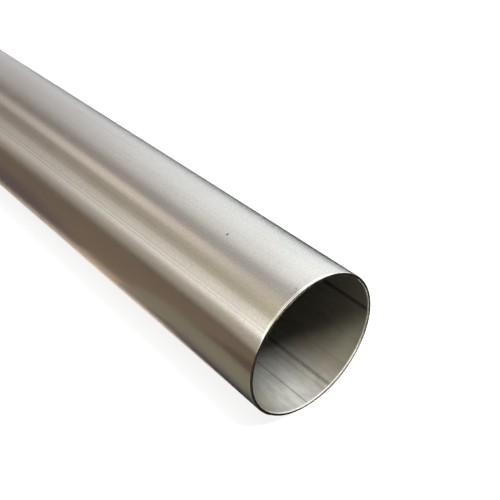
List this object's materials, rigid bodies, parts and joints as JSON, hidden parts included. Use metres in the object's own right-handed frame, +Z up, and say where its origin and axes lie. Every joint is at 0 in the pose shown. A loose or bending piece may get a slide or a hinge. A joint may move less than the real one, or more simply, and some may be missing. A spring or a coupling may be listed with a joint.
{
  "type": "steel tube",
  "caption": "Straight length of round, thin-walled stainless steel tube with square sawn ends and a low weld bead inside.",
  "frame": {"origin": "on the floor, under the middle of the tube's length", "axes": "+X along the tube, towards one sawn end; +Z up; the weld seam is on the +Y side, 3 degrees above the tube's axis"},
  "size_m": [1, 0.0762, 0.0762],
  "materials": {
    "stainless": "satin, belt polished outside; dull mill finish inside"
  },
  "bodies": {
    "root": {"tube": "stainless"}
  },
  "joints": []
}
